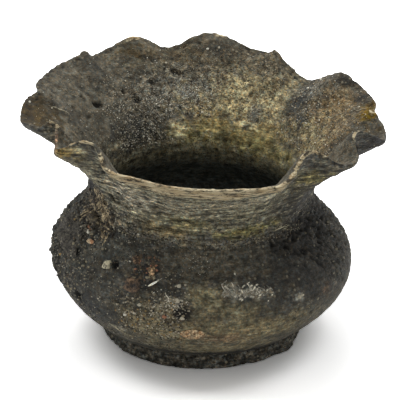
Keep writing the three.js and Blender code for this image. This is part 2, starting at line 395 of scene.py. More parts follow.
# %% Relief of the outside
RING_RISE = (57, 61)
RING_FALL = (97, 88)
RING_HEIGHT = 0.14
RING_TURNS = 2.1
RING_WANDER = 5
GROOVES = 0.42
DRAGS = 0.3
GRAZES = 0.09
NECK_LEDGE = 0.45
LEDGE_RISE = (58.2, 59.4)
LEDGE_FALL = (72, 62)
CRUST_HEIGHT = 1.9
CRUST_BASE = 1.2
CRUST_GRAIN = 0.8
WRINKLE_DEPTH = 2.6
WRINKLE_BASE = 0.8
FAINT = 0.02


def drawn(p, across, up):
    """A point in mm for noise whose lumps are longer across than up, or the other way round."""
    return Vector((p.x * across, p.y * across, p.z * up))


def outside_relief(p, angle, height, radius):
    """How far in mm the outside stands above the smooth wall."""
    rings = smooth(*RING_RISE, height) * smooth(*RING_FALL, height)
    wander = noise.noise(drawn(p, 0.03, 0.2))
    out = RING_HEIGHT * rings * math.sin(height * RING_TURNS + RING_WANDER * wander)
    out += GROOVES * rings * noise.noise(drawn(p, 0.07, 1.1))
    out += DRAGS * rings * noise.noise(drawn(p, 0.25, 0.8) - SEED_FAR)
    out += GRAZES * noise.noise(drawn(p, 0.05, 0.9) + SEED_FAR)
    edge = height + 1.1 * noise.noise(p * 0.22)
    out += NECK_LEDGE * smooth(*LEDGE_RISE, edge) * smooth(*LEDGE_FALL, height)
    crust = patch(angle, height, CRUST_PLACES)
    if crust > FAINT:
        fibre = Vector((p.x * 0.5 + 0.25 * p.z, p.y * 0.5, p.z * 0.16))
        out += crust * (CRUST_HEIGHT * noise.turbulence(fibre, 3, True) - CRUST_BASE)
        out += crust * CRUST_GRAIN * noise.noise(p * 0.55)
    wrinkle = patch(angle, height, WRINKLE_PLACES)
    if wrinkle > FAINT:
        skin = drawn(p, 0.44, 0.3) + SEED_FAR
        out -= wrinkle * (WRINKLE_DEPTH * noise.turbulence(skin, 3, True) - WRINKLE_BASE)
    for *place, push in SWELLS:
        out += push * near(angle, height, place)
    return out - pitted(angle, height, radius, PITS)


# %% Relief of the inside, and of the whole wall
LUMPS_CALM = 0.18
LUMPS_SANDY = 0.32
LUMPS_FINE = 0.22
LUMPS_WIDE = 0.2
CALMED = 0.7
CLAY_GRAIN = 0.14
CLAY_WAVES = 0.2
CHIP_DEPTH = 0.55
LIP_DROP = 0.15
LIP_CHIPS = 0.9
EITHER_SIDE = 0.01
LIP_EDGE = (2.2, 0.6)


def inside_relief(p, angle, height, radius):
    sandy = patch(angle, height, SANDY_PLACES)
    calm = 1 - CALMED * patch(angle, height, SMOOTH_PLACES)
    into = (LUMPS_CALM + LUMPS_SANDY * sandy) * calm * noise.noise(p * 0.75 + SEED_FAR)
    into += LUMPS_FINE * sandy * noise.noise(p * 1.1 - SEED_FAR)
    into += LUMPS_WIDE * noise.noise(drawn(p, 0.1, 0.3))
    return into - pitted(angle, height, radius, INSIDE_PITS)


def relief(co, angle, height, outside, lip):
    p = co / MM
    radius = math.hypot(p.x, p.y)
    total = CLAY_GRAIN * noise.noise(p * 0.9) + CLAY_WAVES * noise.noise(p * 0.33 + SEED_FAR)
    if outside > EITHER_SIDE:
        total += outside * outside_relief(p, angle, height, radius)
    if outside < 1 - EITHER_SIDE:
        total += (1 - outside) * inside_relief(p, angle, height, radius)
    total -= CHIP_DEPTH * smooth(0.5, 0.7, noise.noise(p * 0.45 - SEED_FAR))
    total -= lip * (LIP_DROP + LIP_CHIPS * max(0.0, noise.noise(p * 0.42)))
    return total


# %% [markdown]
# ## Paint from the fire, with some painted shade and light
# The fire coloured the pot in patches: soot, ochre, ash, warm brown and bare clay. Some dabs are
# painted shade and light instead: soot-coloured painted shade in the pits, in the hollows under the
# right wing and in the groove above the foot, and a painted sheen on the front of the belly. The
# throat is painted lighter near its top and darker deep down, painted light and shade. Each is a
# dab: a paint, its place, how far it reaches and how strong it is. Dabs are laid over one another in
# order, and noise tears their edges, as flames do. The result is kept as one colour on every vertex,
# so the patches stay on the clay from every side. Colours are written as they are picked on a screen.

# %% Paints
def picked(red, green, blue):
    """A colour that was picked on a screen, from 0 to 255, as the linear light that Blender uses."""
    shares = (value / 255 for value in (red, green, blue))
    return Vector([s / 12.92 if s < 0.04 else ((s + 0.055) / 1.055) ** 2.4 for s in shares])


SCREEN_PAINTS = {
    "soot_and_shade": (30, 29, 27), "charcoal": (71, 70, 64), "dark_olive": (72, 69, 57), "slate": (112, 113, 106),
    "dark_slate": (58, 59, 56), "throat_painted_light": (166, 160, 132), "throat_painted_shade": (85, 88, 84),
    "neck_olive": (111, 108, 89), "pale_olive": (148, 143, 125), "green_olive": (112, 106, 66),
    "stripe_brown": (100, 88, 60), "low_brown": (121, 113, 87), "low_red": (128, 98, 74),
    "warm_brown_and_sheen": (154, 146, 114), "left_grey": (78, 79, 72), "root_brown": (126, 113, 92),
    "pot_grey": (91, 87, 75), "sand_grey": (123, 120, 108), "back_brown": (97, 91, 75),
    "ochre": (168, 157, 119), "deep_ochre": (168, 153, 106), "dark_ochre": (140, 130, 82),
    "wedge_tan": (206, 194, 152), "fold_brown": (118, 103, 76), "wing_brown": (62, 52, 32),
    "yellow_spot": (106, 84, 14), "lime_grey": (158, 155, 140),
}
PAINTS = {name: picked(*screen) for name, screen in SCREEN_PAINTS.items()}
print("paints:", len(PAINTS))

# %% Where the paint lies
# Soot-coloured dabs on the pits, in the hollows under the right wing near 330 to 353 degrees, and the band
# at 10.4 mm where the bowl meets the foot are painted shade.
OUTSIDE_DABS = [
    ("charcoal", 270, 50, 400, 400, 1.0), ("dark_olive", 270, 8, 400, 22, 0.7),
    ("neck_olive", 262, 82, 64, 22, 1.2), ("neck_olive", 90, 84, 80, 16, 0.7),
    ("charcoal", 270, 52, 400, 6, 1.0), ("charcoal", 328, 76, 20, 14, 1.2),
    ("pale_olive", 236, 80, 14, 9, 1.0), ("pale_olive", 262, 78, 28, 7, 0.4),
    ("dark_olive", 221, 90, 9, 5, 0.5), ("pale_olive", 288, 84, 16, 4, 0.6),
    ("stripe_brown", 252, 64, 14, 3.4, 0.8), ("green_olive", 262, 69, 12, 3, 0.5),
    ("green_olive", 290, 63.5, 16, 2.6, 0.8), ("green_olive", 305, 65, 9, 2.5, 0.6),
    ("dark_olive", 320, 78, 9, 12, 0.7), ("left_grey", 222, 46, 26, 12, 0.7),
    ("charcoal", 232, 42, 14, 8, 0.7), ("soot_and_shade", 222, 42, 8, 4, 0.4), ("root_brown", 202, 59, 12, 7, 0.5),
    ("root_brown", 216, 61, 9, 3, 0.5), ("low_brown", 252, 28, 20, 8, 0.8),
    ("low_brown", 290, 27, 34, 7, 1.0), ("low_red", 278, 24, 10, 2.5, 0.5),
    # The warm dabs on the front of the belly are a warm brown with a painted sheen on it.
    ("warm_brown_and_sheen", 272, 42, 8, 4, 0.9), ("warm_brown_and_sheen", 283, 37, 12, 3, 0.5),
    ("low_brown", 268, 36, 26, 6, 0.5), ("soot_and_shade", 262.5, 36.0, 4.4, 3.8, 1.3), ("soot_and_shade", 248, 42, 7, 3, 0.5),
    ("soot_and_shade", 215.5, 29.3, 3.0, 2.4, 2.0), ("soot_and_shade", 231, 47.5, 2, 1.6, 0.9), ("soot_and_shade", 212, 67, 2.6, 3, 1.2),
    ("soot_and_shade", 240, 45, 9, 4, 0.4), ("charcoal", 240, 17, 20, 4, 0.5), ("yellow_spot", 190, 50, 3, 2, 0.7),
    ("wedge_tan", 221, 98.5, 3.5, 2.2, 0.35), ("yellow_spot", 218, 97, 5, 3, 0.6),
    ("low_red", 209, 96, 5, 3, 0.7), ("soot_and_shade", 330, 99, 5, 3.5, 0.8), ("soot_and_shade", 347, 94, 6, 5, 0.9),
    ("green_olive", 316, 88, 6, 4, 0.7), ("low_red", 325, 36, 3, 2, 0.4), ("soot_and_shade", 300, 62, 30, 1.2, 0.3),
    ("soot_and_shade", 246, 82, 3, 0.8, 0.8), ("neck_olive", 250, 20, 14, 2, 0.3), ("soot_and_shade", 330, 46, 46, 15, 0.7),
    ("soot_and_shade", 340, 58, 34, 8, 0.65), ("dark_slate", 224, 27, 14, 8, 1.0), ("soot_and_shade", 330, 60, 24, 5, 0.5),
    ("soot_and_shade", 324, 70, 11, 8, 0.55), ("charcoal", 318, 24, 13, 8, 0.45),
    ("low_brown", 268, 16.5, 34, 4, 0.6), ("lime_grey", 233, 20.5, 5, 1.6, 0.5),
    ("soot_and_shade", 290, 10.4, 80, 1.6, 1.0), ("pot_grey", 272, 53, 26, 6, 0.7), ("soot_and_shade", 212, 36, 16, 9, 0.3),
    ("soot_and_shade", 214, 63, 7, 5, 0.9), ("low_brown", 100, 26, 30, 8, 0.7), ("root_brown", 132, 50, 14, 8, 0.5),
    ("pale_olive", 76, 80, 26, 7, 0.6), ("soot_and_shade", 60, 40, 25, 12, 0.5), ("green_olive", 112, 62, 20, 3, 0.6),
    ("left_grey", 152, 40, 22, 12, 0.7), ("stripe_brown", 44, 64, 16, 3, 0.7),
    ("lime_grey", 74, 46, 5, 2, 0.4), ("warm_brown_and_sheen", 30, 30, 14, 5, 0.6),
    ("lime_grey", 282.5, 43.4, 4.5, 1.9, 0.7), ("lime_grey", 291.5, 43.0, 4.5, 1.6, 0.6),
    ("lime_grey", 310, 37.6, 2.4, 1.7, 0.8), ("lime_grey", 259, 39.5, 3, 1.6, 0.4),
    ("soot_and_shade", 353, 89, 9, 4.5, 1.2),
]
INSIDE_DABS = [
    ("sand_grey", 102, 80, 22, 10, 0.8), ("back_brown", 84, 96, 46, 5, 0.8), ("slate", 90, 82, 10, 6, 1.1),
    ("ochre", 68, 82, 26, 8, 0.75), ("ochre", 76, 77, 26, 4, 0.7), ("deep_ochre", 84, 71.0, 20, 3.0, 1.2),
    ("deep_ochre", 55, 72, 13, 4, 0.8), ("back_brown", 64, 93, 12, 4, 0.7),
    ("dark_slate", 46, 85, 6.5, 6.5, 1.05), ("dark_slate", 37, 80, 6, 6, 1.0), ("slate", 42, 90, 5, 3, 0.5),
    ("fold_brown", 26, 88, 10, 8, 1.0), ("fold_brown", 12, 84, 9, 6, 0.7),
    ("yellow_spot", 10, 94.3, 7, 2.3, 1.3), ("wing_brown", 179, 92, 14, 8, 1.5),
    ("wing_brown", 100, 94, 18, 4, 0.5), ("dark_slate", 134, 94, 5, 5, 0.5),
    ("wing_brown", 116, 97, 5, 2, 0.8), ("dark_slate", 84, 97, 7, 3, 0.6),
    ("dark_slate", 162, 86, 5, 8, 0.4), ("dark_ochre", 60, 66, 34, 5, 0.8),
    ("charcoal", 124, 68, 20, 5, 0.5), ("wedge_tan", 103.5, 68.6, 5, 4.2, 1.6),
    ("soot_and_shade", 128, 64, 30, 6, 0.6), ("dark_slate", 126, 72, 18, 6, 0.85), ("soot_and_shade", 150, 64, 24, 6, 0.5),
    ("dark_ochre", 95, 66, 10, 3, 0.6), ("soot_and_shade", 4, 82, 6, 4, 0.5), ("slate", 63, 77, 4, 4, 0.8),
    ("wedge_tan", 66, 73, 7, 1.2, 0.8), ("ochre", 22, 78, 14, 6, 0.7), ("fold_brown", 12, 80, 13, 6, 0.4),
    ("dark_olive", 78, 66.5, 5, 3, 0.6), ("dark_olive", 48, 67, 5, 3, 0.5),
    ("deep_ochre", 66, 69, 5, 2.4, 0.6), ("soot_and_shade", 356, 87.5, 4, 3, 1.0), ("soot_and_shade", 32, 97, 6, 1.8, 0.8),
    ("soot_and_shade", 20, 94.5, 5, 1.8, 0.8),
]

# %% Lay the paint
THROAT_TOP = 73
THROAT_MIDDLE = 62
THROAT_FULL_SHADE = 50
THROAT_LIGHT_SHARE = 0.8
ALL_ROUND = 300
NECK_FOOT = 58
NECK_BANDS = (0.7, 0.4)
PAINT_LEVEL = 1.2
PAINT_CLOUDS = (0.32, 0.22)


def painted_at(p, angle, height, outside):
    """The paint on a point of the wall: the dabs of its side, laid over one another."""
    tear = 0.5 * noise.noise(p * 0.28) + 0.4 * noise.noise(p * 0.8 + SEED_FAR)
    colour = PAINTS["pot_grey"]
    # Inside, the throat is painted lighter towards its top, painted light where little lamp light reaches,
    # and darker deep down, painted shade.
    if outside <= 0.5:
        edge = THROAT_LIGHT_SHARE * smooth(THROAT_TOP, THROAT_MIDDLE, height + 5 * tear)
        colour = colour.lerp(PAINTS["throat_painted_light"], edge)
        colour = colour.lerp(PAINTS["throat_painted_shade"], smooth(THROAT_MIDDLE, THROAT_FULL_SHADE, height + 4 * tear))
    for paint, middle, level, reach, rise, amount in OUTSIDE_DABS if outside > 0.5 else INSIDE_DABS:
        share = near(angle, height, (middle, level, reach, rise))
        if share > 0:
            share = min(1.0, amount * smooth(0.1, 0.85, share + (tear if reach < ALL_ROUND else 0)))
            colour = colour.lerp(PAINTS[paint], share)
    if outside > 0.5 and height > NECK_FOOT:
        level = drawn(p, 0.05, 0.9)
        wide, fine = NECK_BANDS
        colour = colour * (1 + wide * noise.noise(level) + fine * noise.noise(2.2 * level + SEED_FAR))
    wide, fine = PAINT_CLOUDS
    return colour * (PAINT_LEVEL + wide * noise.noise(p * 0.13 - SEED_FAR) + fine * noise.noise(p * 0.34))


# %% [markdown]
# ## The worn lip, with painted highlights on its crests
# Handling wore the soot off the lip, most of all at the front, where the bare tan clay shows as a
# broad band. On the crests of the crimps the same mask paints a thin bright line, partly worn clay and
# partly a painted highlight where the crests catch the light. A list says how far the wear and the
# painted highlight reach down from the edge at each place.

# %% Wear of the lip and highlights painted on its crests
# The front places are worn bare clay; those on the crests of the crimps paint a thin highlight as well.
WEAR_AND_HIGHLIGHT_PLACES = [
    (275, 13, 10.0, 1.0), (256, 11, 9.0, 1.0), (243, 6, 7.0, 1.0), (291, 7, 5.0, 0.9), (235, 3, 3.4, 0.8),
    (226.5, 3, 1.6, 0.9), (202.5, 3, 1.4, 0.8), (305, 9, 1.8, 1.2), (313, 4, 1.2, 0.6),
    (334.5, 3.5, 0.7, 0.6), (8.5, 3, 1.1, 0.5), (345, 5, 0.5, 0.15), (221, 3, 1.4, 0.7), (114, 3, 1.8, 0.8),
    (84, 4, 1.0, 0.5),
]
INSIDE_WEAR = 1.1
EDGE_WEAR = 0.12


def wear_and_highlight_at(angle, below, outside):
    """How much wear and painted highlight a point gets, at an angle and so many mm below the lip's edge."""
    total = EDGE_WEAR * smooth(0.8, 0.2, below)
    for middle, reach, drop, amount in WEAR_AND_HIGHLIGHT_PLACES:
        share = math.exp(-(turned_from(angle, middle) / reach) ** 2)
        if share > 0.05:
            deep = drop if outside > 0.5 else min(drop, INSIDE_WEAR)
            total = max(total, amount * share * smooth(deep, 0.6 * deep, below))
    return total


# %% Small shapes of the lip
LIP_SHAPES = [
    (132.4, 1.7, 1.3, 4), (129, 2.5, -0.6, 2), (107, 5, -1.1, 2), (74, 5, -1.0, 2), (65.5, 1.4, 0.9, 2),
    (60.5, 2.6, -2.6, 2), (51, 4, -1.5, 2), (45, 4, -0.5, 2), (40, 4, -1.3, 2), (13, 3, -0.7, 2),
    (194, 5, 1.0, 2), (211, 4, -1.0, 2), (120, 4, -0.5, 2), (88, 5, -0.4, 2),
]
LIP_SHAPE_REACH = 5.0


def lip_lift(angle, below):
    """How far in mm the lip stands above the solid's at an angle: small dips, and one knob."""
    if below > LIP_SHAPE_REACH:
        return 0.0
    total = sum(lift * math.exp(-abs(turned_from(angle, middle) / reach) ** power)
                for middle, reach, lift, power in LIP_SHAPES)
    return total * smooth(LIP_SHAPE_REACH, 0.5, below)


# %% How sandy and how streaky
SANDY_OUTSIDE = 0.4
SANDY_NECK = 0.2
SANDY_CRUST = 0.6
LOW_SAND = (246, 32, 14, 10)
SANDY_LOW = 0.3
SANDY_INSIDE = 0.32
SANDY_MOUTH = 0.42
SMOOTHED = 0.2
SMEARED = 0.3
NECK_BASE = (56, 60)
STREAKY_OUTSIDE = 0.5
STREAKY_INSIDE = 0.3
STREAKY_SMEAR = 0.28


def how_sandy(angle, height, outside):
    """How much grain the clay's finish gets: most in the mouth and the crust, little in the throat."""
    if outside > 0.5:
        total = SANDY_OUTSIDE + SANDY_NECK * smooth(*NECK_BASE, height)
        total += SANDY_CRUST * patch(angle, height, CRUST_PLACES)
        total += SANDY_LOW * near(angle, height, LOW_SAND)
    else:
        total = SANDY_INSIDE + SANDY_MOUTH * patch(angle, height, SANDY_PLACES)
        total -= SMOOTHED * patch(angle, height, SMOOTH_PLACES)
        total -= SMEARED * patch(angle, height, SMEARED_PLACES)
    return min(1.0, max(0.0, total))


def how_streaky(angle, height, outside):
    """How much the finish is drawn into streaks: all of it on the neck, where fingers smeared it."""
    if outside > 0.5:
        return STREAKY_OUTSIDE + (1 - STREAKY_OUTSIDE) * smooth(*NECK_BASE, height)
    return STREAKY_INSIDE + STREAKY_SMEAR * patch(angle, height, SMEARED_PLACES)


# %% Move the vertices and paint them
SHADE_OF_RELIEF = 1.1
SHADE_LOW = 0.1
SHADE_HIGH = 1.5
BOX_LOW, BOX_HIGH = (Vector(corner) for corner in cad_box)


def keep_in_box(bm):
    """No point of the dressed vase lies outside the solids' box."""
    for vertex in bm.verts:
        vertex.co = Vector(min(max(c, l), h) for c, l, h in zip(vertex.co, BOX_LOW, BOX_HIGH))


def finish_layers(bm):
    """The layers that the clay's finish reads from every vertex: its colour, and three amounts."""
    paint = bm.verts.layers.float_color.new("paint")
    return paint, [bm.verts.layers.float.new(name) for name in ("sandy", "wear_and_highlight", "streaky")]


lip_height = {}
for vertex in wall.verts:
    angle, height = angle_and_height(vertex.co)
    column = round(angle)
    lip_height[column] = max(lip_height.get(column, 0.0), height)

paint, (sandy, wear_and_highlight, streaky) = finish_layers(wall)
for vertex in wall.verts:
    co = vertex.co.copy()
    angle, height = angle_and_height(co)
    outside = outwardness(co, vertex.normal, height)
    below = lip_height[round(angle)] - height
    raised = relief(co, angle, height, outside, smooth(*LIP_EDGE, below))
    # The colour is painted darker in hollows and pits and lighter on raised clay: painted shade and painted
    # light that follow the relief.
    shade = min(SHADE_HIGH, max(SHADE_LOW, 1 + SHADE_OF_RELIEF * raised))
    vertex[paint] = (*(painted_at(co / MM, angle, height, outside) * shade), 1.0)
    vertex[sandy] = how_sandy(angle, height, outside)
    vertex[wear_and_highlight] = wear_and_highlight_at(angle, below, outside)
    vertex[streaky] = how_streaky(angle, height, outside)
    vertex.co += vertex.normal * raised * MM
    vertex.co.z += lip_lift(angle, below) * MM
keep_in_box(wall)
print("worked vertices:", len(wall.verts), "dabs:", len(OUTSIDE_DABS) + len(INSIDE_DABS))

# %% [markdown]
# ## Part the wall again
# Each section keeps the faces that came from its own solid. What is left open at a joint is a ring
# outside and a ring inside, and a bridge between the two closes the section with the same flat joint
# that the solid has.

# %% Sections
def parted(name, index):
    bm = wall.copy()
    strangers = [f for f in bm.faces if f.material_index != index]
    bmesh.ops.delete(bm, geom=strangers, context="FACES")
    low, high = (corner.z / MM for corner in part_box(name))
    middle = (low + high) / 2
    for above in (False, True):
        rim = [e for e in bm.edges if e.is_boundary
               and (angle_and_height(e.verts[0].co)[1] > middle) == above]
        if rim:
            bmesh.ops.bridge_loops(bm, edges=rim)
            for edge in rim:
                edge.smooth = False
    for face in bm.faces:
        face.material_index = 0
        face.smooth = True
    bmesh.ops.recalc_face_normals(bm, faces=bm.faces)
    open_edges = sum(e.is_boundary for e in bm.edges)
    piece = new_object(name + "_clay", bm)
    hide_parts(name)
    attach(piece, "root")
    print(piece.name, "faces:", len(piece.data.polygons), "open edges:", open_edges)
    return piece


clay_pieces = [parted(name, index) for index, name in enumerate(SECTIONS)]

# %% [markdown]
# ## The clay's finish
# One material covers the whole wall. It takes the painted colour and breaks it up in four ways: a
# soft mottle, streaks and cracks that run round the pot, sand in cells of 0.7 mm, each a little
# lighter or darker and warmer or cooler than its neighbours, and larger cells of which a few are
# pale crumbs or black holes. How strong the sand and the streaks are comes from the vertices too, so
# that the throat stays calm and the mouth is gritty. The worn clay of the lip, and the highlights
# painted along the crests of its crimps, are streaked as well.

# %% Helpers for textures
def noise_field(tree, coords, scale, detail=4.0, roughness=0.6):
    return add_node(tree, "TexNoise", Vector=coords, Scale=scale, Detail=detail,
                    Roughness=roughness).outputs[0]


def cells(tree, coords, scale):
    """How far a point is from the middle of its cell, and two random numbers for the cell."""
    made = add_node(tree, "TexVoronoi", Vector=coords, Scale=scale)
    numbers = add_node(tree, "SeparateColor", Color=made.outputs["Color"])
    return made.outputs["Distance"], numbers.outputs[0], numbers.outputs[1]


def stepped(tree, value, low, high, start=0.0, end=1.0):
    """start below low, end above high, and smooth between."""
    return add_node(tree, "MapRange", {"interpolation_type": "SMOOTHSTEP"}, Value=value,
                    From_Min=low, From_Max=high, To_Min=start, To_Max=end).outputs[0]


def painted(tree, name, output="Fac"):
    return add_node(tree, "Attribute", {"attribute_name": name}).outputs[output]


def shaded(tree, colour, factor):
    """A colour made lighter or darker by a factor that changes from place to place."""
    made = add_node(tree, "VectorMath", {"operation": "SCALE"}, _0=colour, Scale=factor)
    return made.outputs[0]


def stretched(tree, coords, scale):
    """Coordinates squeezed along some axes, so that a pattern turns into streaks."""
    return add_node(tree, "Mapping", Vector=coords, Scale=scale).outputs[0]


def times(tree, first, second):
    return combine(tree, "MULTIPLY", first, second)


def where(tree, share, value):
    """The value where the share is 1, and 1, which changes nothing, where it is 0."""
    made = add_node(tree, "Mix", {"data_type": "FLOAT"}, _0=share, _2=1.0, _3=value)
    return made.outputs[0]


def add_bump(tree, shader, height, strength, distance):
    bump = add_node(tree, "Bump", Height=height, Strength=strength, Distance=distance)
    tree.links.new(bump.outputs[0], shader.inputs["Normal"])


# %% Clay material
CRUMB_PALE = (*picked(176, 166, 140), 1)
CRUMB_BLACK = (*picked(24, 23, 20), 1)
BARE_TAN = (*picked(222, 209, 174), 1)
BARE_ORANGE = (*picked(174, 151, 113), 1)
BARE_GREY = (*picked(66, 59, 46), 1)
WARM_TINT = (1.16, 0.98, 0.82, 1)
COOL_TINT = (0.86, 1.0, 1.14, 1)
MOTTLE_SCALE = 380
SAND_SCALE = 1500
CRUMB_SCALE = 620
STREAK_SCALE = 1100
CRACK_SCALE = 640
CHIP_SCALE = 1250
STREAK_STRETCH = (0.12, 0.12, 1.6)
CRACK_STRETCH = (0.3, 0.3, 1.1)
CHIP_STRETCH = (0.4, 0.4, 1.0)
CLAY_SPECULAR = 0.16
CLAY_BUMP = 0.9
CLAY_BUMP_DEPTH = 0.6 * MM


def make_clay(name, rough_low, rough_high):
    material, tree, shader = new_material(name)
    coords = add_node(tree, "TexCoord").outputs["Object"]
    sandy = painted(tree, "sandy")
    streaky = painted(tree, "streaky")
    mottle = noise_field(tree, coords, MOTTLE_SCALE, 3.0, 0.65)
    fine = noise_field(tree, coords, SAND_SCALE, 3.0, 0.7)
    dome, number, hue = cells(tree, coords, SAND_SCALE)
    crumb_dome, crumb_number, _ = cells(tree, coords, CRUMB_SCALE)
    streaks = noise_field(tree, stretched(tree, coords, STREAK_STRETCH), STREAK_SCALE, 3.0, 0.7)
    cracks = noise_field(tree, stretched(tree, coords, CRACK_STRETCH), CRACK_SCALE, 4.0, 0.7)
    chips = cells(tree, stretched(tree, coords, CHIP_STRETCH), CHIP_SCALE)[1]

    colour = shaded(tree, painted(tree, "paint", "Color"), stepped(tree, mottle, 0.34, 0.66, 0.58, 1.46))
    lines = times(tree, stepped(tree, streaks, 0.32, 0.68, 0.62, 1.42),
                  stepped(tree, cracks, 0.36, 0.64, 0.52, 1.5))
    lines = times(tree, lines, stepped(tree, chips, 0.0, 1.0, 0.72, 1.4))
    colour = shaded(tree, colour, where(tree, streaky, lines))
    colour = over(tree, times(tree, stepped(tree, cracks, 0.39, 0.34), streaky), colour, CRUMB_BLACK)

    tint = over(tree, hue, WARM_TINT, COOL_TINT)
    colour = add_node(tree, "VectorMath", {"operation": "MULTIPLY"}, _0=colour, _1=tint).outputs[0]
    colour = shaded(tree, colour, where(tree, sandy, stepped(tree, number, 0.0, 1.0, 0.42, 1.6)))
    pale = times(tree, stepped(tree, crumb_number, 0.9, 0.94), stepped(tree, crumb_dome, 0.42, 0.3))
    colour = over(tree, times(tree, pale, sandy), colour, CRUMB_PALE)
    black = times(tree, stepped(tree, crumb_number, 0.14, 0.1), stepped(tree, crumb_dome, 0.5, 0.35))
    colour = over(tree, times(tree, black, sandy), colour, CRUMB_BLACK)

    # Bare clay where the lip is worn, which also paints the highlights along the crests of the crimps.
    bare = over(tree, stepped(tree, streaks, 0.4, 0.62), BARE_ORANGE, BARE_TAN)
    bare = over(tree, stepped(tree, cracks, 0.5, 0.4), bare, BARE_GREY)
    edge = combine(tree, "ADD", painted(tree, "wear_and_highlight"), times(tree, streaks, 0.9))
    colour = over(tree, stepped(tree, edge, 0.72, 1.1), colour, bare)
    tree.links.new(colour, shader.inputs["Base Color"])

    sheen = add_node(tree, "MapRange", Value=mottle, From_Min=0.3, From_Max=0.7,
                     To_Min=rough_low, To_Max=rough_high)
    tree.links.new(sheen.outputs[0], shader.inputs["Roughness"])
    height = combine(tree, "SUBTRACT", fine, times(tree, dome, sandy))
    height = combine(tree, "ADD", height, times(tree, streaks, streaky))
    add_bump(tree, shader, height, CLAY_BUMP, CLAY_BUMP_DEPTH)
    shader.inputs["Specular IOR Level"].default_value = CLAY_SPECULAR
    return material


burnt_clay = make_clay("burnt_clay", 0.55, 0.85)
for piece in clay_pieces:
    piece.data.materials.clear()
    piece.data.materials.append(burnt_clay)
print("material:", burnt_clay.name, "nodes:", len(burnt_clay.node_tree.nodes))

# %% [markdown]
# ## The foot
# The foot is the darkest clay, with a broken edge where it stood in the ashes, and it is painted darker
# towards its top, a painted shade under the overhanging bowl. It is a copy of its solid, cut finer, and
# roughened everywhere but underneath, where it has to stand flat.

# %% Foot
FOOT_ANGLES = (40, 60)
FOOT_CUTS = 3
FOOT_RIM = 36
FOOT_SHADE_LOW = 5.0
FOOT_SHADE_HIGH = 7.5
FOOT_SHADE_SHARE = 0.85
FOOT_SANDY = 0.7
FOOT_STREAKY = 0.8
FOOT_LUMP = 1.0
FOOT_GRAIN = 0.4
FOOT_BASE = 0.15
FOOT_NICKS = 1.3
FOOT_EDGE = 0.5
FOOT_LUMPS = [
    (188, 4, 12, 3, 2.0), (307, 3, 7, 3, 1.3), (326, 3, 9, 4, 3.2), (222, 2, 10, 2, 0.8),
    (262, 3, 9, 2, 0.5),
]
bm = merged_copy("foot", FOOT_ANGLES)
bmesh.ops.subdivide_edges(bm, edges=bm.edges, cuts=FOOT_CUTS, use_grid_fill=True)
for face in bm.faces:
    face.smooth = True
bm.normal_update()
paint, (sandy, wear_and_highlight, streaky) = finish_layers(bm)
for vertex in bm.verts:
    p = vertex.co / MM
    radius = math.hypot(p.x, p.y)
    angle = math.degrees(math.atan2(p.y, p.x)) % TURN
    tear = noise.noise(p * 0.5) + 0.6 * noise.noise(p * 1.1)
    colour = PAINTS["charcoal"].lerp(PAINTS["sand_grey"], smooth(-0.45, 0.65, tear))
    # Towards its top the foot is painted darker: painted shade under the overhanging bowl.
    soot_and_shade = FOOT_SHADE_SHARE * smooth(FOOT_SHADE_LOW, FOOT_SHADE_HIGH, p.z + tear)
    vertex[paint] = (*colour.lerp(PAINTS["soot_and_shade"], soot_and_shade), 1.0)
    vertex[sandy] = FOOT_SANDY
    vertex[streaky] = FOOT_STREAKY
    if radius > FOOT_RIM:
        rough = FOOT_LUMP * noise.turbulence(p * 0.32, 2, True)
        rough += FOOT_GRAIN * noise.noise(p * 0.9) - FOOT_BASE
        for *place, out in FOOT_LUMPS:
            rough -= out * near(angle, p.z, place)
        vertex.co -= Vector((p.x, p.y, 0)).normalized() * rough * MM
        if p.z < FOOT_EDGE:
            nick = FOOT_NICKS * MM * max(0.0, noise.noise(p * 0.16) + 0.4 * tear)
            vertex.co.z += nick * smooth(38, 40, radius)
foot = new_object("foot_clay", bm)
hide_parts("foot")
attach(foot, "root")
foot.data.materials.clear()
foot.data.materials.append(make_clay("dark_and_shaded_clay", 0.7, 0.95))
print(foot.name, "faces:", len(foot.data.polygons))

# %% [markdown]
# ## Bits that are stuck to the wall
# Each bit is a copy of its own solid, smoothed and then roughened to suit what it is: a pebble stays
# round, a clinker is jagged, a flake is thin and grainy, and the nodule has sunk in its middle like
# a crater. The solids lie a hair off the wall, so each bit is first pushed down onto the clay.

# %% Materials of the bits
GRIT_BUMP = 0.6
GRIT_BUMP_DEPTH = 0.3 * MM


def make_grit(name, dark, light, scale, rough=0.9, shade=0.45):
    """Two colours picked on a screen, in grains of some size, with black specks between them."""
    material, tree, shader = new_material(name)
    coords = add_node(tree, "TexCoord").outputs["Object"]
    field = noise_field(tree, coords, scale, 4.0, 0.7)
    dome, number, _ = cells(tree, coords, 2 * scale)
    speck = noise_field(tree, coords, 3 * scale, 2.0, 0.5)
    colour = over(tree, stepped(tree, field, 0.38, 0.62), (*picked(*dark), 1), (*picked(*light), 1))
    colour = shaded(tree, colour, stepped(tree, number, 0.0, 1.0, shade, 1.5))
    colour = over(tree, stepped(tree, speck, 0.42, 0.32), colour, CRUMB_BLACK)
    tree.links.new(colour, shader.inputs["Base Color"])
    add_bump(tree, shader, combine(tree, "SUBTRACT", speck, dome), GRIT_BUMP, GRIT_BUMP_DEPTH)
    shader.inputs["Roughness"].default_value = rough
    return material


